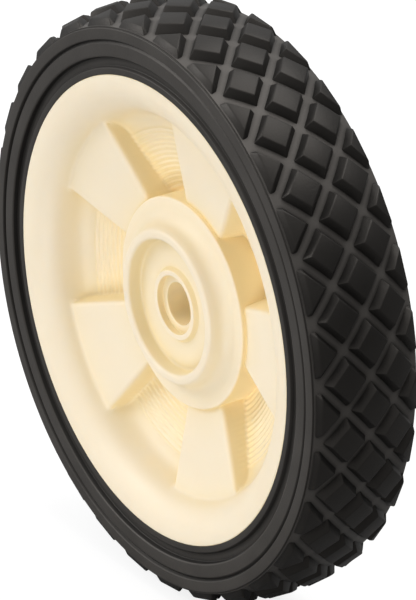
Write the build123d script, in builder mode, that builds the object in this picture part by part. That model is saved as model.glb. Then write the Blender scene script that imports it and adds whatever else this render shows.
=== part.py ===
# Lawn mower wheel: an ivory plastic moulding with five spokes and a rubber tyre with a diamond tread.
# Millimetres. The origin is the wheel's centre, +Y is the axle line and the dished front faces -Y.
import os
from math import asin, cos, degrees, hypot, pi, radians, sin, tan

from build123d import *

# Tyre
tread_radius = 88.9
tyre_half_width = 17.6
block_height = 2.6
crown_radius = 58.0
shoulder_step = 0.5

# Tread lattice
blocks_around = 30
lattice_step = 8.0
groove_width = 2.4
block_draft = 27.0
block_root = 1.0
shoulder_bar_length = 13.0
shoulder_bar_inset = 0.3

# Sidewall rings, outward from the bead
bead_land_width = 1.9
bead_groove_width = 3.4
bead_groove_depth = 1.1
ring_width = 3.8
ring_rise = 0.3
line_groove_width = 1.3
line_groove_depth = 0.9
groove_wall_run = 0.5

# Rim
sidewall_height = 19.3
rim_half_width = 16.8
bed_rise = 2.2
bed_half_width = 13.5
lip_width = 1.2
barrel_wall = 3.4
barrel_draft = 1.0

# Bowl
wall = 3.0
mouth_radius = 11.5
wall_angle = 65.0
wall_run = 3.5
bowl_fillet = 8.0
floor_angle = 18.0

# Ridges on the bowl's floor
ridge_pitch = 1.5
ridge_height = 0.4

# Spokes
spoke_count = 5
spoke_first_angle = 144.7
spoke_arc = 35.0
spoke_outer_inset = 11.1
spoke_outer_depth = 7.0
spoke_inner_depth = 12.4
spoke_edge_radius = 0.9
spoke_wall = 2.8

# Hub
disc_radius = 31.7
disc_rise = 1.5
disc_land_width = 2.7
disc_edge_radius = 0.7
collar_inset = 8.8
collar_width = 2.7
collar_height = 5.4
collar_fillet = 5.5
collar_flank_angle = 70.0
collar_edge_radius = 1.2
recess_depth = 4.2
recess_draft_run = 0.8
boss_radius = 11.3
boss_height = 1.3
boss_draft_run = 0.9
counterbore_radius = 8.8
counterbore_depth = 2.0
bore_diameter = 12.9
sleeve_radius = 11.3
sleeve_back = 20.0

# How far a cut or an added solid runs past the face that it has to break through
overrun = 1.0
# How near an edge lies to the place that it is picked by
near = 0.01

# Tyre carcass: the groove floor is a crown between two stepped shoulders
groove_radius = tread_radius - block_height
crown_centre = groove_radius - crown_radius
floor_half_width = tyre_half_width - shoulder_step
shoulder_radius = crown_centre + crown_radius * cos(asin(floor_half_width / crown_radius))
band_radius = shoulder_radius - shoulder_step
lip_radius = tread_radius - sidewall_height
bed_radius = lip_radius + bed_rise
bead_groove_inner = lip_radius + bead_land_width
bead_groove_outer = bead_groove_inner + bead_groove_width
ring_outer = bead_groove_outer + ring_width
line_groove_outer = ring_outer + line_groove_width
bead_face = rim_half_width
ring_face = tyre_half_width - ring_rise
bead_groove_floor = bead_face - bead_groove_depth
line_groove_floor = tyre_half_width - line_groove_depth

with BuildPart() as carcass:
    with BuildSketch(Plane.XY):
        with BuildLine():
            crown_arc = ThreePointArc(
                (shoulder_radius, -floor_half_width), (groove_radius, 0), (shoulder_radius, floor_half_width)
            )
            half_side = Polyline(
                (shoulder_radius, floor_half_width),
                (band_radius, floor_half_width),
                (band_radius, tyre_half_width),
                (line_groove_outer, tyre_half_width),
                (line_groove_outer - groove_wall_run, line_groove_floor),
                (ring_outer, ring_face),
                (bead_groove_outer, ring_face),
                (bead_groove_outer - groove_wall_run, bead_groove_floor),
                (bead_groove_inner + groove_wall_run, bead_groove_floor),
                (bead_groove_inner, bead_face),
                (lip_radius, bead_face),
                (lip_radius, bed_half_width),
                (bed_radius, bed_half_width),
                (bed_radius, 0),
            )
            mirror(half_side, about=Plane.XZ)
        make_face()
    revolve(axis=Axis.Y)


def crown_plane(axial):
    """Plane of a tread block's root, square to the crown at an axial place, with local y towards +Y."""
    lean = asin(axial / crown_radius)
    reach = crown_radius - block_root
    return Plane(
        origin=(crown_centre + reach * cos(lean), reach * sin(lean), 0),
        x_dir=(0, 0, -1),
        z_dir=(cos(lean), sin(lean), 0),
    )


# Diamond lattice: half diagonals of a cell, and the share of it that a block's root fills
half_pitch = pi * groove_radius / blocks_around
root_flare = block_root * tan(radians(block_draft))
root_inset = groove_width / 2 - root_flare
root_share = 1 - root_inset * hypot(1 / half_pitch, 1 / lattice_step)
block_length = block_root + block_height
root_half_long = half_pitch * root_share
root_half_wide = lattice_step * root_share
pitch_angle = 360 / blocks_around

with BuildPart() as centre_block:
    with BuildSketch(crown_plane(0)):
        Polygon(
            (root_half_long, 0), (0, root_half_wide), (-root_half_long, 0), (0, -root_half_wide), align=None
        )
    extrude(amount=block_length, taper=block_draft)

with BuildPart() as side_block:
    with BuildSketch(crown_plane(lattice_step)):
        Polygon(
            (root_half_long, 0), (0, root_half_wide), (-root_half_long, 0), (0, -root_half_wide), align=None
        )
    extrude(amount=block_length, taper=block_draft)

# Shoulder block: half a diamond with its outer corners cut square, ending in a bar along the shoulder
shoulder_centre = 1.5 * lattice_step
bar_half = shoulder_bar_length / 2 + root_flare
bar_end = floor_half_width - shoulder_bar_inset + root_flare
bar_corner = 2 * lattice_step - lattice_step * (root_share - bar_half / half_pitch)
apex = 2 * lattice_step - root_half_wide
with BuildPart() as shoulder_block:
    with BuildSketch(crown_plane(shoulder_centre)):
        Polygon(
            (0, apex - shoulder_centre),
            (bar_half, bar_corner - shoulder_centre),
            (bar_half, bar_end - shoulder_centre),
            (-bar_half, bar_end - shoulder_centre),
            (-bar_half, bar_corner - shoulder_centre),
            align=None,
        )
    extrude(amount=block_length, taper=block_draft)

with BuildPart() as tyre:
    add(carcass.part)
    blocks = []
    for step in range(blocks_around):
        turn = step * pitch_angle
        half_turn = turn + pitch_angle / 2
        blocks.append(centre_block.part.rotate(Axis.Y, turn))
        for part, angle in ((side_block.part, half_turn), (shoulder_block.part, turn)):
            turned = part.rotate(Axis.Y, angle)
            blocks.append(turned)
            blocks.append(turned.mirror(Plane.XZ))
    add(blocks)
tyre.part.label = "tyre"

# Wheel moulding: places on its front, from the rim inwards
front = -rim_half_width
mouth_start = lip_radius - lip_width
spoke_outer_radius = lip_radius - spoke_outer_inset
spoke_outer_y = front + spoke_outer_depth
spoke_inner_y = front + spoke_inner_depth
spoke_slope = (spoke_inner_y - spoke_outer_y) / (spoke_outer_radius - disc_radius)
disc_y = spoke_inner_y - disc_rise
collar_top = disc_y - collar_height
collar_radius = disc_radius - collar_inset
recess_radius = collar_radius - collar_width
recess_floor = collar_top + recess_depth
boss_top = recess_floor - boss_height
bore_start = boss_top + counterbore_depth
bore_radius = bore_diameter / 2
wall_direction = (-cos(radians(wall_angle)), sin(radians(wall_angle)))


def spoke_y(radius):
    """Axial place of the spokes' sloping face at a radius."""
    return spoke_outer_y + spoke_slope * (spoke_outer_radius - radius)


with BuildPart() as wheel:
    # The front as one turned profile on a solid core, with the ridges on the bowl's floor
    with BuildSketch(Plane.XY):
        with BuildLine():
            lip = Line((lip_radius, front), (mouth_start, front))
            mouth = JernArc(start=lip @ 1, tangent=(-1, 0), radius=mouth_radius, arc_size=-wall_angle)
            slope = PolarLine(start=mouth @ 1, length=wall_run, direction=wall_direction)
            fillet_arc = JernArc(
                start=slope @ 1, tangent=wall_direction, radius=bowl_fillet, arc_size=wall_angle - floor_angle
            )
            floor_start = fillet_arc @ 1
            ridges = int((floor_start.X - disc_radius) / ridge_pitch)
            ridge_points = [floor_start]
            for ridge in range(ridges):
                peak = (ridge + 0.5) * ridge_pitch
                root = (ridge + 1) * ridge_pitch
                fall = tan(radians(floor_angle))
                ridge_points.append((floor_start.X - peak, floor_start.Y + peak * fall - ridge_height))
                ridge_points.append((floor_start.X - root, floor_start.Y + root * fall))
            ridge_line = Polyline(*ridge_points)
            hub_foot = ridge_line @ 1
            disc_edge = Polyline(
                hub_foot,
                (disc_radius, hub_foot.Y),
                (disc_radius, disc_y),
                (disc_radius - disc_land_width, disc_y),
            )
            flank = JernArc(
                start=disc_edge @ 1, tangent=(-1, 0), radius=collar_fillet, arc_size=collar_flank_angle
            )
            hub_face = Polyline(
                flank @ 1,
                (collar_radius, collar_top),
                (recess_radius, collar_top),
                (recess_radius - recess_draft_run, recess_floor),
                (boss_radius, recess_floor),
                (boss_radius - boss_draft_run, boss_top),
                (counterbore_radius, boss_top),
                (counterbore_radius, bore_start),
                (bore_radius, bore_start),
                (bore_radius, sleeve_back),
                (sleeve_radius, sleeve_back),
                (sleeve_radius, rim_half_width),
                (lip_radius, rim_half_width),
                (lip_radius, bed_half_width),
                (bed_radius, bed_half_width),
                (bed_radius, -bed_half_width),
                (lip_radius, -bed_half_width),
                (lip_radius, front),
            )
        make_face()
    revolve(axis=Axis.Y)

    # Raised spoke panels, each a sector turned from one section
    spoke_start = disc_radius - overrun
    spoke_end = spoke_outer_radius + overrun
    for spoke in range(spoke_count):
        spoke_middle = spoke_first_angle + spoke * 360 / spoke_count
        with BuildSketch(Plane.XY.rotated((0, spoke_arc / 2 - spoke_middle, 0))):
            Polygon(
                (spoke_start, spoke_y(spoke_start)),
                (spoke_end, spoke_y(spoke_end)),
                (spoke_end, 0),
                (spoke_start, hub_foot.Y + overrun),
                align=None,
            )
        revolve(axis=Axis.Y, revolution_arc=-spoke_arc)
    spoke_mid_radius = (disc_radius + spoke_outer_radius) / 2
    spoke_length = spoke_outer_radius - disc_radius
    lines = wheel.edges().filter_by(GeomType.LINE)
    spoke_edges = [
        edge
        for edge in lines.filter_by(lambda edge: edge.length > spoke_length / 2)
        if abs(edge.center().Y - spoke_y(spoke_mid_radius)) < spoke_edge_radius
    ]
    fillet(spoke_edges, radius=spoke_edge_radius)
    circles = wheel.edges().filter_by(GeomType.CIRCLE)
    disc_corners = [
        edge
        for edge in circles.filter_by(lambda edge: abs(edge.radius - disc_radius) < near)
        if abs(edge.center().Y - disc_y) < near
    ]
    fillet(disc_corners, radius=disc_edge_radius)
    collar_corners = wheel.edges().filter_by(GeomType.CIRCLE)
    collar_corners = collar_corners.filter_by(lambda edge: abs(edge.center().Y - collar_top) < near)
    fillet(collar_corners, radius=collar_edge_radius)

    # The back, cored out to an even wall: barrel, bowl, hub cup and bore sleeve
    barrel_inner = lip_radius - barrel_wall
    mouth_centre = front + mouth_radius
    mouth_back = mouth_radius - wall
    barrel_turn = degrees(asin((mouth_start - barrel_inner + barrel_draft) / mouth_back))
    with BuildSketch(Plane.XY):
        with BuildLine():
            roll = CenterArc(
                (mouth_start, mouth_centre), mouth_back, 270 - barrel_turn, barrel_turn - wall_angle
            )
            slope_back = PolarLine(start=roll @ 1, length=wall_run, direction=wall_direction)
            fillet_back = JernArc(
                start=slope_back @ 1,
                tangent=wall_direction,
                radius=bowl_fillet + wall,
                arc_size=wall_angle - floor_angle,
            )
            floor_fall = ((fillet_back @ 1).X - disc_radius) * tan(radians(floor_angle))
            cup_rim = (fillet_back @ 1).Y + floor_fall
            cup_roof = recess_floor + wall
            Polyline(
                fillet_back @ 1,
                (disc_radius, cup_rim),
                (disc_radius - wall, cup_rim),
                (disc_radius - wall, disc_y + wall),
                (collar_radius, cup_roof),
                (sleeve_radius + barrel_draft, cup_roof),
                (sleeve_radius, sleeve_back + overrun),
                (barrel_inner, sleeve_back + overrun),
                (barrel_inner, rim_half_width),
                roll @ 0,
            )
        make_face()
    revolve(axis=Axis.Y, mode=Mode.SUBTRACT)

    # Hollows behind the spokes
    hollow_start = disc_radius + spoke_wall
    hollow_end = spoke_outer_radius - wall
    hollow_arc = spoke_arc - 2 * degrees(spoke_wall / spoke_mid_radius)
    for spoke in range(spoke_count):
        spoke_middle = spoke_first_angle + spoke * 360 / spoke_count
        with BuildSketch(Plane.XY.rotated((0, hollow_arc / 2 - spoke_middle, 0))):
            Polygon(
                (hollow_start, spoke_y(hollow_start) + wall),
                (hollow_end, spoke_y(hollow_end) + wall),
                (hollow_end, cup_rim + overrun),
                (hollow_start, cup_rim + overrun),
                align=None,
            )
        revolve(axis=Axis.Y, revolution_arc=-hollow_arc, mode=Mode.SUBTRACT)
wheel.part.label = "wheel"

os.makedirs("parts", exist_ok=True)
export_step(wheel.part, "parts/wheel.step")
export_step(tyre.part, "parts/tyre.step")
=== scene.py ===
"""Lawn mower wheel: an ivory plastic moulding in a rubber tyre with a diamond tread, in a plain studio."""
import logging
from dataclasses import dataclass
from enum import Enum
from math import asin, cos, hypot, pi, radians, sin, sqrt, tan

import bpy
from mathutils import Matrix, Vector


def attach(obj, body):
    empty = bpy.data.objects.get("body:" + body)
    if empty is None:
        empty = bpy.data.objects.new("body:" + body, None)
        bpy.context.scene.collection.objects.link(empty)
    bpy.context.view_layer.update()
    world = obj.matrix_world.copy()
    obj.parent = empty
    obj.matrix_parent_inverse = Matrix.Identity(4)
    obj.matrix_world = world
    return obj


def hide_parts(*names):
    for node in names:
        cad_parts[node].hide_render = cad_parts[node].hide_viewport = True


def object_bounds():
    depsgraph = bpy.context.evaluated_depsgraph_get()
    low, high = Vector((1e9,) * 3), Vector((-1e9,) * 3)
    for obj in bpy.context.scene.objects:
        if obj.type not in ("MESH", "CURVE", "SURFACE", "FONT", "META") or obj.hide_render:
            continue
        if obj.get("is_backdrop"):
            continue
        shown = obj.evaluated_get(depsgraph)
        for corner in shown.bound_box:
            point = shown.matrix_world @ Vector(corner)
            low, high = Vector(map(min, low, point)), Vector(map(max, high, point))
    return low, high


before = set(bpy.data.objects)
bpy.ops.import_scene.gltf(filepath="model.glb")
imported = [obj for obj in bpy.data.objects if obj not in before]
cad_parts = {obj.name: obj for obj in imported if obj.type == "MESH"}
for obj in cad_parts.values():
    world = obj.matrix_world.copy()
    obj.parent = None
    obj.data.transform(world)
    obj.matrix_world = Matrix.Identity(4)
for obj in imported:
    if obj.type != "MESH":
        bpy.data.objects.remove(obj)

LOG = logging.getLogger("wheel")
MM = 0.001
# Mesh attribute for painted light: the share of a lighter colour on the skin between the tread blocks and
# on the sidewalls, which stands in for those places catching more light than the blocks.
PAINTED_LIGHT = "painted_light"
# Distance in millimetres that is well inside a spoke's edge or, as a negative, well inside a pocket.
FAR = 99.0
# Largest share of a straight line that one rounded corner takes.
CORNER_SHARE = 0.48

Point = tuple[float, float]
Colour = tuple[float, float, float]
Column = tuple[int, int, float | None, float]


class Slot(Enum):
    """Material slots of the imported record."""

    PLASTIC = "ivory_plastic"
    RUBBER = "black_rubber"


def deselect_all() -> None:
    """Leave edit mode and clear the selection, so that an operator acts on one new piece only."""
    if bpy.context.object and bpy.context.object.mode != "OBJECT":
        bpy.ops.object.mode_set(mode="OBJECT")
    bpy.ops.object.select_all(action="DESELECT")


def make_active(piece: bpy.types.Object) -> None:
    """Select one piece alone and make it the active object.

    Args:
        piece: The object that the next operators act on.
    """
    deselect_all()
    piece.select_set(True)
    bpy.context.view_layer.objects.active = piece


def face_outwards(piece: bpy.types.Object) -> None:
    """Turn every face of a closed piece outwards.

    Args:
        piece: The object, with a closed mesh.
    """
    make_active(piece)
    bpy.ops.object.mode_set(mode="EDIT")
    bpy.ops.mesh.select_all(action="SELECT")
    bpy.ops.mesh.normals_make_consistent(inside=False)
    bpy.ops.object.mode_set(mode="OBJECT")


def smooth_by_angle(piece: bpy.types.Object, degrees: float) -> None:
    """Shade a piece smooth, with a crease where two faces turn by more than an angle.

    Args:
        piece: The object to shade.
        degrees: The largest turn that still looks smooth.
    """
    make_active(piece)
    bpy.ops.object.shade_smooth_by_angle(angle=radians(degrees))


def rounded(corners: list[tuple[float, float, float]], steps: int = 4) -> list[Point]:
    """Round the corners of an open run of straight lines.

    Args:
        corners: Points as (radius, axial, corner radius); the two ends keep their place.
        steps: Number of chords in each rounded corner.

    Returns:
        The points of the run, with a curve in place of each corner.
    """
    points: list[Point] = [corners[0][:2]]
    for before, corner, after in zip(corners, corners[1:], corners[2:]):
        here = Vector(corner[:2])
        back = Vector(before[:2]) - here
        ahead = Vector(after[:2]) - here
        half = back.angle(ahead) / 2
        reach = min(corner[2] / tan(half), back.length * CORNER_SHARE, ahead.length * CORNER_SHARE)
        if reach <= 0:
            points.append(corner[:2])
            continue
        start = here + back.normalized() * reach
        end = here + ahead.normalized() * reach
        for step in range(steps + 1):
            share = step / steps
            place = start.lerp(here, share).lerp(here.lerp(end, share), share)
            points.append((place.x, place.y))
    points.append(corners[-1][:2])
    return points


def between(start: float, end: float, steps: int) -> list[float]:
    """Even values after a start, up to and including an end."""
    return [start + (end - start) * step / steps for step in range(1, steps + 1)]


def around_axle(radius: float, axial: float, angle: float) -> Vector:
    """Place in metres of a point at a radius and an angle from +X towards +Z about the axle line."""
    return Vector((radius * cos(angle), axial, radius * sin(angle))) * MM


def ring_piece(name: str, columns: list[list[Vector]]) -> bpy.types.Object:
    """Shape a torus into a closed ring with a given section at each turn.

    Args:
        name: Name of the piece.
        columns: One closed section after another round the axle, each with as many points.

    Returns:
        The piece, with its faces outwards.
    """
    deselect_all()
    turns = len(columns)
    places = len(columns[0])
    bpy.ops.mesh.primitive_torus_add(major_segments=turns, minor_segments=places)
    piece = bpy.context.object
    piece.name = name
    piece.data.name = name
    for turn, section in enumerate(columns):
        for place, point in enumerate(section):
            piece.data.vertices[turn * places + place].co = point
    face_outwards(piece)
    return piece


def crossing(first: tuple[Vector, Vector], second: tuple[Vector, Vector]) -> Vector:
    """Find where two lines cross in a plane.

    Args:
        first: A place on one line and its direction.
        second: The same for the other line.

    Returns:
        The point that both lines share.
    """
    (start, along), (other, run) = first, second
    gap = other - start
    return start + along * (gap.x * run.y - gap.y * run.x) / (along.x * run.y - along.y * run.x)


def inset_outline(outline: list[Point], distance: float) -> list[Point]:
    """Move each side of a convex outline inwards; a side that shrinks to nothing becomes one point.

    Args:
        outline: Corners in order.
        distance: How far each side moves.

    Returns:
        The corners of the smaller outline.
    """
    count = len(outline)
    turning = sum(
        outline[i][0] * outline[(i + 1) % count][1] - outline[(i + 1) % count][0] * outline[i][1]
        for i in range(count)
    )
    inward = 1 if turning > 0 else -1
    lines = []
    for i in range(count):
        start, end = Vector(outline[i]), Vector(outline[(i + 1) % count])
        run = (end - start).normalized()
        normal = Vector((-run.y, run.x)) * inward
        lines.append((start + normal * distance, run))
    corners = [crossing(lines[i - 1], lines[i]) for i in range(count)]
    for i in range(count):
        after = (i + 1) % count
        if (corners[after] - corners[i]).dot(lines[i][1]) < 0:
            corners[i] = corners[after] = crossing(lines[i - 1], lines[after])
    return [tuple(corner) for corner in corners]


@dataclass
class Tyre:
    """Rubber ring with a diamond tread; sizes in millimetres."""

    tread_radius: float = 88.9
    half_width: float = 17.6
    block_height: float = 2.6
    crown_radius: float = 58.0
    shoulder_step: float = 0.5
    blocks_around: int = 30
    lattice_step: float = 8.0
    groove_width: float = 2.4
    block_draft: float = 22.5
    block_root: float = 1.0
    block_edge: float = 0.35
    shoulder_fall: float = 0.9
    bar_length: float = 13.0
    bar_inset: float = 0.3
    lip_radius: float = 69.6
    bed_radius: float = 71.8
    bed_half_width: float = 13.5
    bead_face: float = 16.8
    bead_land: float = 1.9
    bead_groove: float = 3.4
    bead_groove_depth: float = 1.1
    ring_width: float = 3.8
    ring_rise: float = 0.3
    line_groove: float = 1.3
    line_groove_depth: float = 0.9
    groove_wall: float = 0.5
    # Depth below the ring's face from which the sidewall's groove walls get painted shade, and the shares
    # of the lighter painted light colour on the sidewall and on the bead zone.
    groove_shade_depth: float = 0.3
    side_painted_light: float = 0.68
    bead_painted_light: float = 0.5
    shoulder_row: float = 1.5
    merge_distance: float = 0.035
    step_fillet: float = 0.2
    step_edge: float = 0.35
    line_edge: float = 0.4
    line_fillet: float = 0.15
    ring_outer_edge: float = 0.5
    ring_inner_edge: float = 0.7
    bead_fillet: float = 0.3
    bead_edge: float = 0.35
    bead_lip_edge: float = 0.2
    smooth_angle: float = 32.0
    edge_segments: int = 2
    crown_steps: int = 12
    turns: int = 240

    @property
    def groove_radius(self) -> float:
        """Radius of the tread's groove floor at the middle of the tyre."""
        return self.tread_radius - self.block_height

    @property
    def crown_centre(self) -> float:
        """Radius at which the crown's arc has its centre."""
        return self.groove_radius - self.crown_radius

    def crown(self, axial: float) -> float:
        """Radius of the groove floor at an axial place."""
        return self.crown_centre + sqrt(self.crown_radius**2 - axial**2)

    def half_section(self) -> list[Point]:
        """Outline of the +Y half of the carcass.

        Returns:
            The points from the crown's middle to the middle of the rim's bed.
        """
        floor_edge = self.half_width - self.shoulder_step
        places = [floor_edge * step / self.crown_steps for step in range(self.crown_steps)]
        crown = [(self.crown(place), place) for place in places]
        band = self.crown(floor_edge) - self.shoulder_step
        groove_in = self.lip_radius + self.bead_land
        groove_out = groove_in + self.bead_groove
        ring_out = groove_out + self.ring_width
        line_out = ring_out + self.line_groove
        ring_face = self.half_width - self.ring_rise
        groove_floor = self.bead_face - self.bead_groove_depth
        side = rounded(
            [
                (self.crown(floor_edge), floor_edge, 0.0),
                (band, floor_edge, self.step_fillet),
                (band, self.half_width, self.step_edge),
                (line_out, self.half_width, self.line_edge),
                (line_out - self.groove_wall, self.half_width - self.line_groove_depth, self.line_fillet),
                (ring_out, ring_face, self.ring_outer_edge),
                (groove_out, ring_face, self.ring_inner_edge),
                (groove_out - self.groove_wall, groove_floor, self.bead_fillet),
                (groove_in + self.groove_wall, groove_floor, self.bead_fillet),
                (groove_in, self.bead_face, self.bead_edge),
                (self.lip_radius, self.bead_face, self.bead_lip_edge),
                (self.lip_radius, self.bed_half_width, 0.0),
                (self.bed_radius, self.bed_half_width, 0.0),
                (self.bed_radius, 0.0, 0.0),
            ]
        )
        return crown + side

    def carcass(self) -> bpy.types.Object:
        """Shape the ring that carries the tread, with its sidewall rings and its bead seat.

        Returns:
            The ring as one closed piece.
        """
        half = self.half_section()
        section = half + [(radius, -axial) for radius, axial in reversed(half[1:-1])]
        columns = []
        for turn in range(self.turns):
            angle = 2 * pi * turn / self.turns
            columns.append([around_axle(radius, axial, angle) for radius, axial in section])
        return ring_piece("tyre_carcass", columns)

    def painted_light_share(self, place: Vector) -> float:
        """Share of the painted light colour at a place on the carcass: none on the sidewall's groove walls,
        which get painted shade.

        Args:
            place: Place on the carcass, in metres.

        Returns:
            A share from 0 to 1, which is 1 between the tread blocks.
        """
        radius = hypot(place.x, place.z) / MM
        if radius > self.crown(self.half_width - self.shoulder_step) - self.shoulder_step / 2:
            return 1.0
        if abs(place.y) / MM >= self.half_width - self.ring_rise - self.groove_shade_depth:
            return self.side_painted_light
        bead_end = self.lip_radius + self.bead_land + self.bead_groove - self.groove_wall
        return self.bead_painted_light if radius < bead_end else 0.0

    def root_frame(self, axial: float, angle: float) -> Matrix:
        """Frame of a block's root, square to the crown, with local y towards +Y.

        Args:
            axial: Axial place of the block, in millimetres.
            angle: Angle about the axle, from +X towards +Z.

        Returns:
            The matrix from the block's own frame, in millimetres, to the wheel's frame in metres.
        """
        lean = asin(axial / self.crown_radius)
        reach = self.crown_radius - self.block_root
        outward = Vector((cos(lean), sin(lean), 0))
        across = Vector((-sin(lean), cos(lean), 0))
        along = across.cross(outward)
        origin = Vector((self.crown_centre, 0, 0)) + outward * reach
        local = Matrix((along, across, outward)).transposed().to_4x4()
        local.translation = origin
        return Matrix.Scale(MM, 4) @ Matrix.Rotation(-angle, 4, "Y") @ local

    def root_outlines(self) -> tuple[list[Point], list[Point], float]:
        """Outlines of a full block and of a shoulder block at their roots.

        Returns:
            The diamond, the shoulder block's outline, and the shoulder block's axial place.
        """
        half_pitch = pi * self.groove_radius / self.blocks_around
        flare = self.block_root * tan(radians(self.block_draft))
        inset = self.groove_width / 2 - flare
        share = 1 - inset * hypot(1 / half_pitch, 1 / self.lattice_step)
        long, wide = half_pitch * share, self.lattice_step * share
        diamond = [(long, 0.0), (0.0, wide), (-long, 0.0), (0.0, -wide)]
        centre = self.shoulder_row * self.lattice_step
        next_row = 2 * self.lattice_step
        bar = self.bar_length / 2 + flare
        end = self.half_width - self.shoulder_step - self.bar_inset + flare - centre
        corner = next_row - self.lattice_step * (share - bar / half_pitch) - centre
        tip = next_row - wide - centre
        shoulder = [(0.0, tip), (bar, corner), (bar, end), (-bar, end), (-bar, corner)]
        return diamond, shoulder, centre

    def block(self, name: str, outline: list[Point], fall: float = 0.0) -> bpy.types.Object:
        """Model one tread block, drafted and with soft edges, in its own frame in millimetres.

        Args:
            name: Name of the block.
            outline: Corners of its root, in order.
            fall: How far the top drops from the first corner to the side across from it.

        Returns:
            The block, rising along +Z from its root.
        """
        deselect_all()
        bpy.ops.mesh.primitive_circle_add(vertices=len(outline), fill_type="NGON")
        block = bpy.context.object
        block.name = name
        for vertex, (along, across) in zip(block.data.vertices, outline):
            vertex.co = (along, across, 0)
        height = self.block_root + self.block_height
        bpy.ops.object.mode_set(mode="EDIT")
        bpy.ops.mesh.select_all(action="SELECT")
        bpy.ops.mesh.extrude_region_move(TRANSFORM_OT_translate={"value": (0, 0, height)})
        bpy.ops.object.mode_set(mode="OBJECT")
        top = inset_outline(outline, height * tan(radians(self.block_draft)))
        reach = max(abs(across - top[0][1]) for _, across in top)
        for vertex in block.data.vertices:
            if vertex.co.z > height / 2:
                nearest = min(range(len(outline)), key=lambda i: (Vector(outline[i]) - vertex.co.xy).length)
                along, across = top[nearest]
                vertex.co = (along, across, height - fall * abs(across - top[0][1]) / reach)
        bpy.ops.object.mode_set(mode="EDIT")
        bpy.ops.mesh.select_all(action="SELECT")
        bpy.ops.mesh.remove_doubles(threshold=self.merge_distance)
        bpy.ops.object.mode_set(mode="OBJECT")
        self.soften_edges(block, height / 2)
        return block

    def soften_edges(self, block: bpy.types.Object, above: float) -> None:
        """Bevel a block's upper edges and turn its faces outwards.

        Args:
            block: The block, which is the active object.
            above: Height over the root; an edge with an end past it is bevelled.
        """
        for edge in block.data.edges:
            edge.select = max(block.data.vertices[i].co.z for i in edge.vertices) > above
        for polygon in block.data.polygons:
            polygon.select = False
        bpy.context.tool_settings.mesh_select_mode = (False, True, False)
        bpy.ops.object.mode_set(mode="EDIT")
        bpy.ops.mesh.bevel(offset=self.block_edge, segments=self.edge_segments, affect="EDGES")
        bpy.ops.mesh.select_all(action="SELECT")
        bpy.ops.mesh.normals_make_consistent(inside=False)
        bpy.ops.object.mode_set(mode="OBJECT")

    def placed(self, block: bpy.types.Object, axial: float, angle: float) -> bpy.types.Object:
        """Copy a block, with a mesh of its own, to its place on the crown.

        Args:
            block: The block to copy, in its own frame in millimetres.
            axial: Axial place of the copy, in millimetres.
            angle: Angle about the axle, from +X towards +Z.

        Returns:
            The copy, with its place in its mesh.
        """
        copy = block.copy()
        copy.data = block.data.copy()
        copy.data.transform(self.root_frame(axial, angle))
        bpy.context.scene.collection.objects.link(copy)
        return copy

    def build(self) -> bpy.types.Object:
        """Model the carcass and its tread blocks as one piece.

        Returns:
            The tyre, which stands for the CAD node of the tyre.
        """
        carcass = self.carcass()
        # Paint light onto the carcass: a lighter colour between the blocks and on the sidewalls, and
        # painted shade on the sidewall's groove walls.
        painted_light = carcass.data.attributes.new(PAINTED_LIGHT, "FLOAT", "POINT")
        painted_light.data.foreach_set("value", [self.painted_light_share(vertex.co) for vertex in carcass.data.vertices])
        diamond, shoulder, shoulder_place = self.root_outlines()
        full = self.block("full_block", diamond)
        mirrored = [(-along, -across) for along, across in shoulder]
        outer = self.block("shoulder_block", shoulder, self.shoulder_fall)
        outer_back = self.block("shoulder_block_back", mirrored, self.shoulder_fall)
        pitch = 2 * pi / self.blocks_around
        copies = []
        for step in range(self.blocks_around):
            turn = step * pitch
            copies.append(self.placed(full, 0.0, turn))
            copies.append(self.placed(full, self.lattice_step, turn + pitch / 2))
            copies.append(self.placed(full, -self.lattice_step, turn + pitch / 2))
            copies.append(self.placed(outer, shoulder_place, turn))
            copies.append(self.placed(outer_back, -shoulder_place, turn))
        for pattern in (full, outer, outer_back):
            bpy.data.objects.remove(pattern)
        make_active(carcass)
        for copy in copies:
            copy.select_set(True)
        bpy.ops.object.join()
        carcass.name = "diamond_tyre"
        carcass.data.name = "diamond_tyre"
        smooth_by_angle(carcass, self.smooth_angle)
        return carcass


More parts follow.
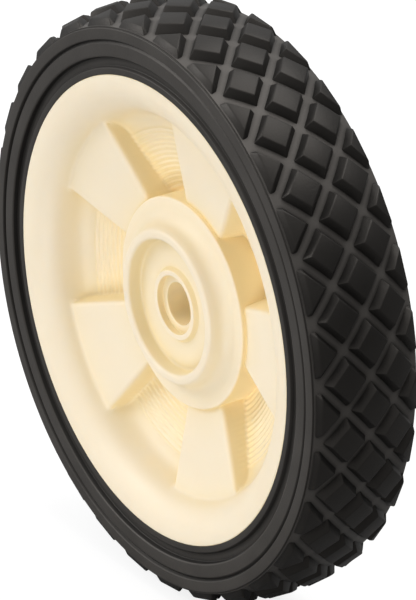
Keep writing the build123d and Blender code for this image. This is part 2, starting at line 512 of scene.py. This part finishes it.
@dataclass
class Wheel:
    """Ivory moulding: rim, bowl, five spokes and hub; sizes in millimetres, the front towards -Y."""

    lip_radius: float = 69.6
    half_width: float = 16.8
    bed_radius: float = 71.8
    bed_half_width: float = 13.5
    lip_width: float = 1.2
    barrel_wall: float = 3.4
    barrel_draft: float = 1.0
    wall: float = 3.0
    mouth_radius: float = 11.5
    wall_angle: float = 65.0
    wall_run: float = 3.5
    bowl_fillet: float = 8.0
    floor_angle: float = 18.0
    ridge_pitch: float = 1.5
    ridge_height: float = 0.32
    ridge_samples: int = 6
    spoke_count: int = 5
    spoke_first_angle: float = 144.7
    spoke_arc: float = 35.0
    spoke_outer_radius: float = 58.5
    spoke_outer_depth: float = 7.0
    spoke_inner_depth: float = 12.4
    spoke_edge: float = 1.5
    spoke_foot: float = 1.0
    spoke_draft_run: float = 0.6
    spoke_wall: float = 2.8
    panel_blend: float = 1.2
    disc_radius: float = 31.7
    disc_rise: float = 1.5
    disc_land: float = 2.7
    collar_radius: float = 22.9
    collar_width: float = 2.7
    collar_height: float = 5.4
    collar_fillet: float = 5.5
    collar_flank_angle: float = 70.0
    recess_depth: float = 4.2
    recess_draft: float = 0.8
    boss_radius: float = 11.3
    boss_height: float = 1.3
    boss_draft: float = 0.9
    counterbore_radius: float = 8.8
    counterbore_depth: float = 2.0
    bore_radius: float = 6.45
    sleeve_radius: float = 11.3
    sleeve_back: float = 20.0
    bore_land: float = 2.0
    disc_edge: float = 0.7
    collar_outer_edge: float = 1.3
    collar_inner_edge: float = 1.2
    recess_fillet: float = 0.9
    boss_fillet: float = 0.4
    boss_outer_edge: float = 0.35
    boss_inner_edge: float = 0.3
    counterbore_fillet: float = 0.2
    bore_front_edge: float = 0.25
    bore_back_edge: float = 0.3
    sleeve_edge: float = 0.5
    cup_fillet: float = 1.0
    cup_edge: float = 0.5
    barrel_edge: float = 0.6
    back_lip_edge: float = 0.5
    front_lip_edge: float = 0.35
    back_start: float = 1.0
    hollow_step: float = 0.25
    smooth_angle: float = 35.0
    # Distances inside a spoke's edge at which a column runs, close together where the edge is round.
    column_offsets: tuple[float, ...] = (
        5.0, 3.1, 2.5, 1.9, 1.5, 1.05, 0.62, 0.27, 0.0, -0.6, -0.75, -1.0, -1.3, -1.6
    )
    pocket_columns: int = 8
    spoke_columns: int = 4
    roll_samples: int = 16
    wall_samples: int = 4
    fillet_samples: int = 8
    flank_samples: int = 8
    hollow_samples: int = 10
    back_wall_samples: int = 3
    back_roll_samples: int = 8

    @property
    def front(self) -> float:
        """Axial place of the rim's front edge."""
        return -self.half_width

    @property
    def mouth_start(self) -> float:
        """Radius at which the lip ends and the rolled mouth begins."""
        return self.lip_radius - self.lip_width

    def bowl_marks(self, offset: float) -> tuple[Vector, Vector, Vector]:
        """Ends of the mouth's roll, of the steep wall and of the fillet, for the front or the back.

        Args:
            offset: Distance behind the front surface.

        Returns:
            The three places as (radius, axial).
        """
        steep, flat = radians(self.wall_angle), radians(self.floor_angle)
        roll = self.mouth_radius - offset
        turn = self.bowl_fillet + offset
        roll_end = Vector(
            (self.mouth_start - roll * sin(steep), self.front + self.mouth_radius - roll * cos(steep))
        )
        wall_end = roll_end + Vector((-cos(steep), sin(steep))) * self.wall_run
        fillet_end = wall_end + Vector((sin(flat) - sin(steep), cos(flat) - cos(steep))) * turn
        return roll_end, wall_end, fillet_end

    def bowl(self, radius: float, offset: float = 0.0) -> float:
        """Follow the bowl's smooth surface, or its back at an even distance behind it.

        Args:
            radius: Distance from the axle.
            offset: Distance behind the front surface.

        Returns:
            The axial place of the surface at that radius.
        """
        roll_end, wall_end, fillet_end = self.bowl_marks(offset)
        steep, flat = radians(self.wall_angle), radians(self.floor_angle)
        if radius >= roll_end.x:
            across = min(self.mouth_start - radius, self.mouth_radius - offset)
            fall = sqrt((self.mouth_radius - offset) ** 2 - max(across, 0) ** 2)
            return self.front + self.mouth_radius - fall
        if radius >= wall_end.x:
            return roll_end.y + (roll_end.x - radius) * tan(steep)
        if radius >= fillet_end.x:
            turn = self.bowl_fillet + offset
            centre = wall_end + Vector((-sin(steep), -cos(steep))) * turn
            return centre.y + sqrt(turn**2 - (radius - centre.x) ** 2)
        return fillet_end.y + (fillet_end.x - radius) * tan(flat)

    def floor(self, radius: float) -> float:
        """Follow a pocket's floor, with its concentric ridges.

        Args:
            radius: Distance from the axle.

        Returns:
            The axial place of the floor at that radius.
        """
        start = self.bowl_marks(0.0)[2].x
        count = int((start - self.disc_radius) / self.ridge_pitch)
        inwards = (start - radius) / self.ridge_pitch
        level = self.bowl(radius)
        if 0 <= inwards <= count:
            level -= self.ridge_height * (0.5 - 0.5 * cos(2 * pi * inwards))
        return level

    def panel(self, radius: float) -> float:
        """Follow a spoke's sloping face, blended into the bowl at its outer end.

        Args:
            radius: Distance from the axle.

        Returns:
            The axial place of the face at that radius.
        """
        outer = self.front + self.spoke_outer_depth
        inner = self.front + self.spoke_inner_depth
        slope = (inner - outer) / (self.spoke_outer_radius - self.disc_radius)
        face = outer + slope * (self.spoke_outer_radius - radius)
        bowl = self.bowl(radius)
        near = max(self.panel_blend - abs(face - bowl), 0) / self.panel_blend
        return min(face, bowl) - near**2 * self.panel_blend / 4

    def front_level(self, radius: float, offset: float) -> float:
        """Axial place of the front at a radius and a distance inside a spoke's edge.

        Args:
            radius: Distance from the axle.
            offset: Distance inside the spoke's edge; negative in a pocket.

        Returns:
            The axial place, with the spoke's top edge and foot rounded.
        """
        top, floor = self.panel(radius), self.floor(radius)
        tall = max(floor - top, 0)
        ease = min(1, tall / (self.spoke_edge + self.spoke_foot))
        if offset >= self.spoke_edge:
            return top
        if offset >= 0:
            short = self.spoke_edge - offset
            return top + ease * (self.spoke_edge - sqrt(max(self.spoke_edge**2 - short**2, 0)))
        beyond = -offset - self.spoke_draft_run
        if beyond >= self.spoke_foot:
            return floor
        short = self.spoke_foot - max(beyond, 0)
        return floor - ease * (self.spoke_foot - sqrt(max(self.spoke_foot**2 - short**2, 0)))

    def back_level(self, radius: float, offset: float) -> float:
        """Follow the back of the web, with a hollow behind each spoke.

        Args:
            radius: Distance from the axle.
            offset: Distance inside the spoke's edge; negative in a pocket.

        Returns:
            The axial place of the back at that radius.
        """
        pocket = self.bowl(radius, self.wall)
        start, end = self.disc_radius + self.spoke_wall, self.spoke_outer_radius - self.wall
        if offset > self.spoke_wall and start <= radius <= end:
            return min(self.panel(radius) + self.wall, pocket)
        return pocket

    def columns(self) -> list[Column]:
        """Angular columns round the wheel.

        Returns:
            Each column as (spoke, side, distance inside the spoke's edge or None, share of the way there).
        """
        result: list[Column] = []
        for spoke in range(self.spoke_count):
            result.append((spoke, -1, None, 1.0))
            for share in range(self.pocket_columns - 1, 0, -1):
                result.append((spoke, -1, None, share / self.pocket_columns))
            result.extend((spoke, -1, offset, 0.0) for offset in reversed(self.column_offsets))
            for step in range(1 - self.spoke_columns, self.spoke_columns):
                result.append((spoke, 1, FAR, step / self.spoke_columns))
            result.extend((spoke, 1, offset, 0.0) for offset in self.column_offsets)
            for share in range(1, self.pocket_columns):
                result.append((spoke, 1, None, share / self.pocket_columns))
        return result

    def column_angle(self, column: Column, radius: float) -> float:
        """Turn a column so that, beside a spoke, it runs along the spoke's edge.

        Args:
            column: One of the angular columns.
            radius: Distance from the axle.

        Returns:
            The column's angle at that radius, from +X towards +Z.
        """
        spoke, side, offset, share = column
        middle = radians(self.spoke_first_angle) + spoke * 2 * pi / self.spoke_count
        reach = min(max(radius, self.disc_radius), self.spoke_outer_radius)
        half = radians(self.spoke_arc) / 2
        if offset == FAR:
            return middle + side * share * (half - self.column_offsets[0] / reach)
        if offset is not None:
            return middle + side * (half - offset / reach)
        foot = half - self.column_offsets[-1] / reach
        return middle + side * (foot + share * (pi / self.spoke_count - foot))

    def front_radii(self) -> list[float]:
        """Radii of the samples across the front.

        Returns:
            The radii from the lip to the hub disc, with several to each ridge of the floor.
        """
        roll_end, wall_end, fillet_end = self.bowl_marks(0.0)
        steep = radians(self.wall_angle)
        turns = [steep * step / self.roll_samples for step in range(self.roll_samples + 1)]
        radii = [self.mouth_start - self.mouth_radius * sin(turn) for turn in turns]
        radii += between(roll_end.x, wall_end.x, self.wall_samples)
        radii += between(wall_end.x, fillet_end.x, self.fillet_samples)
        count = int((fillet_end.x - self.disc_radius) / self.ridge_pitch) * self.ridge_samples
        step = self.ridge_pitch / self.ridge_samples
        radii += [fillet_end.x - step * i for i in range(1, count + 1)]
        return radii

    def hub_front(self, foot: float) -> list[Point]:
        """Outline of the hub from the foot of its disc to the bore.

        Args:
            foot: Axial place where the disc meets the web.

        Returns:
            The points from the disc's foot to the bore's front edge.
        """
        disc = self.front + self.spoke_inner_depth - self.disc_rise
        flank_start = self.disc_radius - self.disc_land
        flank = []
        for step in range(self.flank_samples + 1):
            turn = radians(self.collar_flank_angle) * step / self.flank_samples
            flank.append(
                (flank_start - self.collar_fillet * sin(turn), disc - self.collar_fillet * (1 - cos(turn)))
            )
        top = disc - self.collar_height
        recess = self.collar_radius - self.collar_width
        recess_floor = top + self.recess_depth
        boss_top = recess_floor - self.boss_height
        step_floor = boss_top + self.counterbore_depth
        start = rounded(
            [(self.disc_radius, foot, 0.0), (self.disc_radius, disc, self.disc_edge), (*flank[0], 0.0)]
        )
        rest = rounded(
            [
                (*flank[-1], 0.0),
                (self.collar_radius, top, self.collar_outer_edge),
                (recess, top, self.collar_inner_edge),
                (recess - self.recess_draft, recess_floor, self.recess_fillet),
                (self.boss_radius, recess_floor, self.boss_fillet),
                (self.boss_radius - self.boss_draft, boss_top, self.boss_outer_edge),
                (self.counterbore_radius, boss_top, self.boss_inner_edge),
                (self.counterbore_radius, step_floor, self.counterbore_fillet),
                (self.bore_radius, step_floor, self.bore_front_edge),
                (self.bore_radius, step_floor + self.bore_land, 0.0),
            ]
        )
        return start + flank[1:] + rest[1:]

    def hub_back(self) -> list[Point]:
        """Outline of the bore, the sleeve and the hub's cup.

        Returns:
            The points from the middle of the bore to the back of the web.
        """
        disc = self.front + self.spoke_inner_depth - self.disc_rise
        roof = disc - self.collar_height + self.recess_depth + self.wall
        rim = self.bowl(self.disc_radius, self.wall)
        return rounded(
            [
                (self.bore_radius, 0.0, 0.0),
                (self.bore_radius, self.sleeve_back, self.bore_back_edge),
                (self.sleeve_radius, self.sleeve_back, self.sleeve_edge),
                (self.sleeve_radius + self.barrel_draft, roof, self.cup_fillet),
                (self.collar_radius, roof, self.cup_fillet),
                (self.disc_radius - self.wall, disc + self.wall, self.cup_fillet),
                (self.disc_radius - self.wall, rim, self.cup_edge),
                (self.disc_radius, rim, 0.0),
            ]
        )

    def back_radii(self) -> list[float]:
        """Radii of the samples across the web's back.

        Returns:
            The radii from the hub's cup to the barrel, with a close pair at each end of a hollow.
        """
        hollow = (self.disc_radius + self.spoke_wall, self.spoke_outer_radius - self.wall)
        roll_end, wall_end, _ = self.bowl_marks(self.wall)
        radii = [self.disc_radius + self.back_start, wall_end.x]
        for end in hollow:
            radii += [end - self.hollow_step, end + self.hollow_step]
        radii += between(*hollow, self.hollow_samples)[:-1]
        radii += between(wall_end.x, roll_end.x, self.back_wall_samples)
        inner = self.lip_radius - self.barrel_wall - self.barrel_draft
        radii += between(roll_end.x, inner, self.back_roll_samples)
        return sorted(radii)

    def rim_outline(self) -> list[Point]:
        """Outline of the rim from the barrel's inside to the mouth.

        Returns:
            The points along the barrel, the back lip, the tyre's bed and the front lip.
        """
        inner = self.lip_radius - self.barrel_wall
        return rounded(
            [
                (inner - self.barrel_draft, self.bowl(inner - self.barrel_draft, self.wall), 0.0),
                (inner, self.half_width, self.barrel_edge),
                (self.lip_radius, self.half_width, self.back_lip_edge),
                (self.lip_radius, self.bed_half_width, 0.0),
                (self.bed_radius, self.bed_half_width, 0.0),
                (self.bed_radius, -self.bed_half_width, 0.0),
                (self.lip_radius, -self.bed_half_width, 0.0),
                (self.lip_radius, self.front, self.front_lip_edge),
                (self.mouth_start, self.front, 0.0),
            ]
        )

    def build(self) -> bpy.types.Object:
        """Shape the whole moulding as one closed ring.

        Returns:
            The moulding, which stands for the CAD node of the wheel.
        """
        front_radii, back_radii = self.front_radii(), self.back_radii()
        rim, hub_back = self.rim_outline(), self.hub_back()
        sections = []
        for column in self.columns():
            offset = column[2] if column[2] is not None else -FAR
            section = [(radius, self.front_level(radius, offset)) for radius in front_radii]
            section += self.hub_front(self.front_level(self.disc_radius, offset))
            section += hub_back
            section += [(radius, self.back_level(radius, offset)) for radius in back_radii]
            section += rim[1:-1]
            sections.append(
                [around_axle(radius, axial, self.column_angle(column, radius)) for radius, axial in section]
            )
        piece = ring_piece("spoked_moulding", sections)
        smooth_by_angle(piece, self.smooth_angle)
        return piece


@dataclass(frozen=True)
class Mottle:
    """Soft procedural change between two colours, read in Object coordinates."""

    first: Colour
    second: Colour
    scale: float
    detail: float = 3.0
    first_up_to: float = 0.3
    second_from: float = 0.7

    def colour_socket(self, material: bpy.types.Material) -> bpy.types.NodeSocket:
        """Add the pattern to a material.

        Args:
            material: A material that uses nodes.

        Returns:
            The socket that gives the colour.
        """
        nodes, links = material.node_tree.nodes, material.node_tree.links
        coordinates = nodes.new("ShaderNodeTexCoord")
        noise = nodes.new("ShaderNodeTexNoise")
        noise.inputs["Scale"].default_value = self.scale
        noise.inputs["Detail"].default_value = self.detail
        ramp = nodes.new("ShaderNodeValToRGB")
        ramp.color_ramp.elements[0].position = self.first_up_to
        ramp.color_ramp.elements[0].color = (*self.first, 1)
        ramp.color_ramp.elements[1].position = self.second_from
        ramp.color_ramp.elements[1].color = (*self.second, 1)
        links.new(coordinates.outputs["Object"], noise.inputs["Vector"])
        links.new(noise.outputs["Fac"], ramp.inputs["Fac"])
        return ramp.outputs["Color"]


@dataclass(frozen=True)
class Grain:
    """Fine bumps on a surface, read in Object coordinates."""

    scale: float
    strength: float
    distance: float
    detail: float = 4.0

    def normal_socket(self, material: bpy.types.Material) -> bpy.types.NodeSocket:
        """Add the bumps to a material.

        Args:
            material: A material that uses nodes.

        Returns:
            The socket that gives the bumped normal.
        """
        nodes, links = material.node_tree.nodes, material.node_tree.links
        coordinates = nodes.new("ShaderNodeTexCoord")
        noise = nodes.new("ShaderNodeTexNoise")
        noise.inputs["Scale"].default_value = self.scale
        noise.inputs["Detail"].default_value = self.detail
        bump = nodes.new("ShaderNodeBump")
        bump.inputs["Strength"].default_value = self.strength
        bump.inputs["Distance"].default_value = self.distance
        links.new(coordinates.outputs["Object"], noise.inputs["Vector"])
        links.new(noise.outputs["Fac"], bump.inputs["Height"])
        return bump.outputs["Normal"]


@dataclass(frozen=True)
class Finish:
    """One surface finish: a principled shader with a mottled colour and a grain, and where given, painted
    light and shade.
    """

    name: str
    mottle: Mottle
    grain: Grain
    roughness: float
    specular: float = 0.5
    specular_tint: Colour = (1.0, 1.0, 1.0)
    subsurface: float = 0.0
    subsurface_radius: Colour = (1.0, 0.6, 0.3)
    subsurface_scale: float = 0.001
    # Painted colours where walls close in, which stand in for shade and, on the plastic, for warm light
    # through the walls; and the open shares at which each of them rules.
    recess: Colour | None = None
    painted_deep_colour: Colour = (0.0, 0.0, 0.0)
    painted_shade_reach: float = 0.01
    painted_deep_up_to: float = 0.3
    painted_recess_from: float = 0.55
    painted_recess_fades_from: float = 0.65
    # Lighter colour of painted light on the skin between the blocks and on the sidewalls.
    painted_light: Mottle | None = None

    def paint_recess_light_and_shade(self, material: bpy.types.Material, colour: bpy.types.NodeSocket) -> bpy.types.NodeSocket:
        """Paint shade, and warm light that has passed through the walls, into the colour where walls close
        in.

        Args:
            material: The material that the nodes go into.
            colour: Socket of the colour on open surfaces.

        Returns:
            The socket of the colour with painted light and shade.
        """
        nodes, links = material.node_tree.nodes, material.node_tree.links
        open_share = nodes.new("ShaderNodeAmbientOcclusion")
        open_share.inputs["Distance"].default_value = self.painted_shade_reach
        spread = nodes.new("ShaderNodeMapRange")
        spread.inputs["From Min"].default_value = self.painted_recess_fades_from
        # Painted shade colours, chosen by how open the place is.
        recess_paint = nodes.new("ShaderNodeValToRGB")
        recess_paint.color_ramp.elements[0].position = self.painted_deep_up_to
        recess_paint.color_ramp.elements[0].color = (*self.painted_deep_colour, 1)
        recess_paint.color_ramp.elements[1].position = self.painted_recess_from
        recess_paint.color_ramp.elements[1].color = (*self.recess, 1)
        blend = nodes.new("ShaderNodeMix")
        blend.data_type = "RGBA"
        links.new(open_share.outputs["AO"], recess_paint.inputs["Fac"])
        links.new(recess_paint.outputs["Color"], blend.inputs["A"])
        links.new(open_share.outputs["AO"], spread.inputs["Value"])
        links.new(spread.outputs["Result"], blend.inputs["Factor"])
        links.new(colour, blend.inputs["B"])
        return blend.outputs["Result"]

    def with_painted_light(self, material: bpy.types.Material, colour: bpy.types.NodeSocket) -> bpy.types.NodeSocket:
        """Paint light into the colour where the mesh is marked as bare of blocks: a lighter colour that
        stands in for the carcass catching more light than the blocks.

        Args:
            material: The material that the nodes go into.
            colour: Socket of the colour on the blocks.

        Returns:
            The socket of the colour with painted light.
        """
        nodes, links = material.node_tree.nodes, material.node_tree.links
        mark = nodes.new("ShaderNodeAttribute")
        mark.attribute_name = PAINTED_LIGHT
        blend = nodes.new("ShaderNodeMix")
        blend.data_type = "RGBA"
        links.new(mark.outputs["Fac"], blend.inputs["Factor"])
        links.new(colour, blend.inputs["A"])
        links.new(self.painted_light.colour_socket(material), blend.inputs["B"])
        return blend.outputs["Result"]

    def material(self) -> bpy.types.Material:
        """Make the material.

        Returns:
            A node material with the finish's colour, its painted light and shade, grain and gloss.
        """
        material = bpy.data.materials.new(self.name)
        material.use_nodes = True
        shader = material.node_tree.nodes["Principled BSDF"]
        shader.subsurface_method = "BURLEY"
        links = material.node_tree.links
        colour = self.mottle.colour_socket(material)
        # Painted light on the skin between the blocks and on the sidewalls.
        if self.painted_light:
            colour = self.with_painted_light(material, colour)
        # Painted shade, and painted warm glow, where walls close in.
        if self.recess:
            colour = self.paint_recess_light_and_shade(material, colour)
        links.new(colour, shader.inputs["Base Color"])
        links.new(self.grain.normal_socket(material), shader.inputs["Normal"])
        shader.inputs["Roughness"].default_value = self.roughness
        shader.inputs["Specular IOR Level"].default_value = self.specular
        shader.inputs["Specular Tint"].default_value = (*self.specular_tint, 1)
        shader.inputs["Subsurface Weight"].default_value = self.subsurface
        shader.inputs["Subsurface Radius"].default_value = self.subsurface_radius
        shader.inputs["Subsurface Scale"].default_value = self.subsurface_scale
        return material

    def dress(self, piece: bpy.types.Object) -> None:
        """Give a piece this finish all over."""
        piece.data.materials.clear()
        piece.data.materials.append(self.material())


IVORY = Finish(
    name="ivory_plastic_finish",
    mottle=Mottle((0.93, 0.805, 0.605), (0.945, 0.83, 0.64), scale=30.0),
    grain=Grain(scale=900.0, strength=0.05, distance=0.0002),
    roughness=0.42,
    specular=0.4,
    subsurface=0.4,
    subsurface_radius=(1.0, 0.65, 0.35),
    subsurface_scale=0.002,
    # Painted warm shade in the pockets and a painted warm glow of light through the walls in the bore.
    recess=(0.9, 0.74, 0.43),
    painted_deep_colour=(1.0, 0.85, 0.55),
    painted_shade_reach=0.018,
)
RUBBER = Finish(
    name="black_rubber_finish",
    mottle=Mottle((0.012, 0.0114, 0.0107), (0.019, 0.0179, 0.0168), scale=60.0),
    grain=Grain(scale=1400.0, strength=0.15, distance=0.0003),
    roughness=0.45,
    specular=0.4,
    specular_tint=(1.0, 0.92, 0.84),
    # Painted shade, darker still in the grooves' tight corners.
    recess=(0.012, 0.0115, 0.011),
    painted_deep_colour=(0.008, 0.0077, 0.0074),
    painted_shade_reach=0.0015,
    # Painted light: a lighter colour on the groove floors and sidewalls than on the blocks, for how much
    # more light they catch.
    painted_light=Mottle((0.08, 0.0745, 0.069), (0.105, 0.0975, 0.0905), scale=60.0),
)
FLOOR = Finish(
    name="pale_floor_finish",
    mottle=Mottle((0.84, 0.84, 0.84), (0.86, 0.86, 0.86), scale=3.0),
    grain=Grain(scale=200.0, strength=0.02, distance=0.0005),
    roughness=0.9,
    specular=0.0,
)


@dataclass
class AreaLight:
    """Soft square light that looks at the wheel's centre; place and size in metres."""

    name: str
    place: tuple[float, float, float]
    size: float
    power: float
    only: str = ""

    def build(self) -> None:
        """Hang the light in the scene; one for a single piece also shines past the others."""
        light = bpy.data.lights.new(self.name, "AREA")
        light.energy = self.power
        light.size = self.size
        lamp = bpy.data.objects.new(self.name, light)
        lamp.location = self.place
        lamp.rotation_euler = (-Vector(self.place)).to_track_quat("-Z", "Y").to_euler()
        bpy.context.scene.collection.objects.link(lamp)
        if self.only:
            lit = bpy.data.collections.new(self.name)
            lit.objects.link(bpy.data.objects[self.only])
            lamp.light_linking.receiver_collection = lit
            lamp.light_linking.blocker_collection = lit


@dataclass
class Studio:
    """Pale floor, soft lights and the camera at the photo's viewing angle."""

    azimuth: float = 56.56
    elevation: float = 24.01
    distance: float = 1.2565
    aim_right: float = 0.00293
    aim_up: float = -0.00035
    lens_mm: float = 260.4
    clip_start: float = 0.01
    floor_size: float = 12.0
    floor_white: float = 0.7
    floor_glow: float = 1.2
    floor_bounce: float = 0.27
    sky_side: tuple[float, float, float] = (-0.5, -0.5, 0.7)
    sky_dark_from: float = -0.7
    sky_strength: float = 0.82
    lights: tuple[AreaLight, ...] = (
        AreaLight("key_light", (-1.2, -1.3, 1.0), 0.8, 12.0),
        AreaLight("dish_light", (0.7, -1.6, -0.8), 1.2, 20.0, "spoked_moulding"),
        AreaLight("tread_light", (0.0, 0.6, 2.0), 1.8, 24.0),
    )

    def camera(self) -> None:
        """Set up the camera at the photo's distance and angle."""
        turn, lift = radians(self.azimuth), radians(self.elevation)
        back = Vector((sin(turn) * cos(lift), -cos(turn) * cos(lift), sin(lift)))
        right = Vector((cos(turn), sin(turn), 0))
        up = back.cross(right)
        place = back * self.distance
        aim = right * self.aim_right + up * self.aim_up
        data = bpy.data.cameras.new("photo_camera")
        data.lens = self.lens_mm
        data.clip_start = self.clip_start
        camera = bpy.data.objects.new("photo_camera", data)
        camera.location = place
        camera.rotation_euler = (aim - place).to_track_quat("-Z", "Y").to_euler()
        bpy.context.scene.collection.objects.link(camera)
        bpy.context.scene.camera = camera

    def floor(self, level: float) -> None:
        """Lay the floor under the tyre.

        Args:
            level: Height of the floor in metres.
        """
        deselect_all()
        bpy.ops.mesh.primitive_plane_add(size=self.floor_size, location=(0, 0, level))
        floor = bpy.context.object
        floor.name = "studio_floor"
        bpy.ops.object.transform_apply(location=True)
        FLOOR.dress(floor)
        self.whiten(floor.data.materials[0])
        floor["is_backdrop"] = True

    def whiten(self, material: bpy.types.Material) -> None:
        """Let the camera see a near white floor with its shadow, while it throws little light back.

        Args:
            material: The floor's own material.
        """
        nodes, links = material.node_tree.nodes, material.node_tree.links
        glow = nodes.new("ShaderNodeEmission")
        glow.inputs["Color"].default_value = (1, 1, 1, 1)
        glow.inputs["Strength"].default_value = self.floor_glow
        seen = nodes.new("ShaderNodeMixShader")
        seen.inputs["Fac"].default_value = self.floor_white
        dull = nodes.new("ShaderNodeBsdfDiffuse")
        dull.inputs["Color"].default_value = (self.floor_bounce, self.floor_bounce, self.floor_bounce, 1)
        path = nodes.new("ShaderNodeLightPath")
        whole = nodes.new("ShaderNodeMixShader")
        links.new(nodes["Principled BSDF"].outputs["BSDF"], seen.inputs[1])
        links.new(glow.outputs["Emission"], seen.inputs[2])
        links.new(path.outputs["Is Camera Ray"], whole.inputs["Fac"])
        links.new(dull.outputs["BSDF"], whole.inputs[1])
        links.new(seen.outputs["Shader"], whole.inputs[2])
        links.new(whole.outputs["Shader"], nodes["Material Output"].inputs["Surface"])

    def world(self) -> None:
        """Set a white backdrop for the camera; the pieces get a sky that is brightest on one side."""
        world = bpy.data.worlds.new("studio_world")
        bpy.context.scene.world = world
        world.use_nodes = True
        nodes, links = world.node_tree.nodes, world.node_tree.links
        background = nodes["Background"]
        background.inputs["Color"].default_value = (1, 1, 1, 1)
        coordinates = nodes.new("ShaderNodeTexCoord")
        towards = nodes.new("ShaderNodeVectorMath")
        towards.operation = "DOT_PRODUCT"
        towards.inputs[1].default_value = Vector(self.sky_side).normalized()
        level = nodes.new("ShaderNodeMapRange")
        level.inputs["From Min"].default_value = self.sky_dark_from
        level.inputs["To Max"].default_value = self.sky_strength
        path = nodes.new("ShaderNodeLightPath")
        seen = nodes.new("ShaderNodeMix")
        seen.inputs["B"].default_value = 1.0
        links.new(coordinates.outputs["Generated"], towards.inputs[0])
        links.new(towards.outputs["Value"], level.inputs["Value"])
        links.new(level.outputs["Result"], seen.inputs["A"])
        links.new(path.outputs["Is Camera Ray"], seen.inputs["Factor"])
        links.new(seen.outputs["Result"], background.inputs["Strength"])

    def build(self, floor_level: float) -> None:
        """Set up the floor, the lights, the camera and the plain view.

        Args:
            floor_level: Height of the floor in metres.
        """
        self.floor(floor_level)
        self.world()
        for light in self.lights:
            light.build()
        self.camera()
        bpy.context.scene.view_settings.view_transform = "Standard"


def main() -> None:
    """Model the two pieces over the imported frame, dress them and set up the studio."""
    logging.basicConfig(level=logging.INFO, format="%(name)s: %(message)s")
    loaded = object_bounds()
    wheel = Wheel().build()
    IVORY.dress(wheel)
    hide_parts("wheel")
    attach(wheel, "root")
    LOG.info("moulding has %d faces", len(wheel.data.polygons))
    tyre = Tyre().build()
    RUBBER.dress(tyre)
    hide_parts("tyre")
    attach(tyre, "root")
    LOG.info("tyre has %d faces", len(tyre.data.polygons))
    Studio().build(loaded[0].z)


if __name__ == "__main__":
    main()
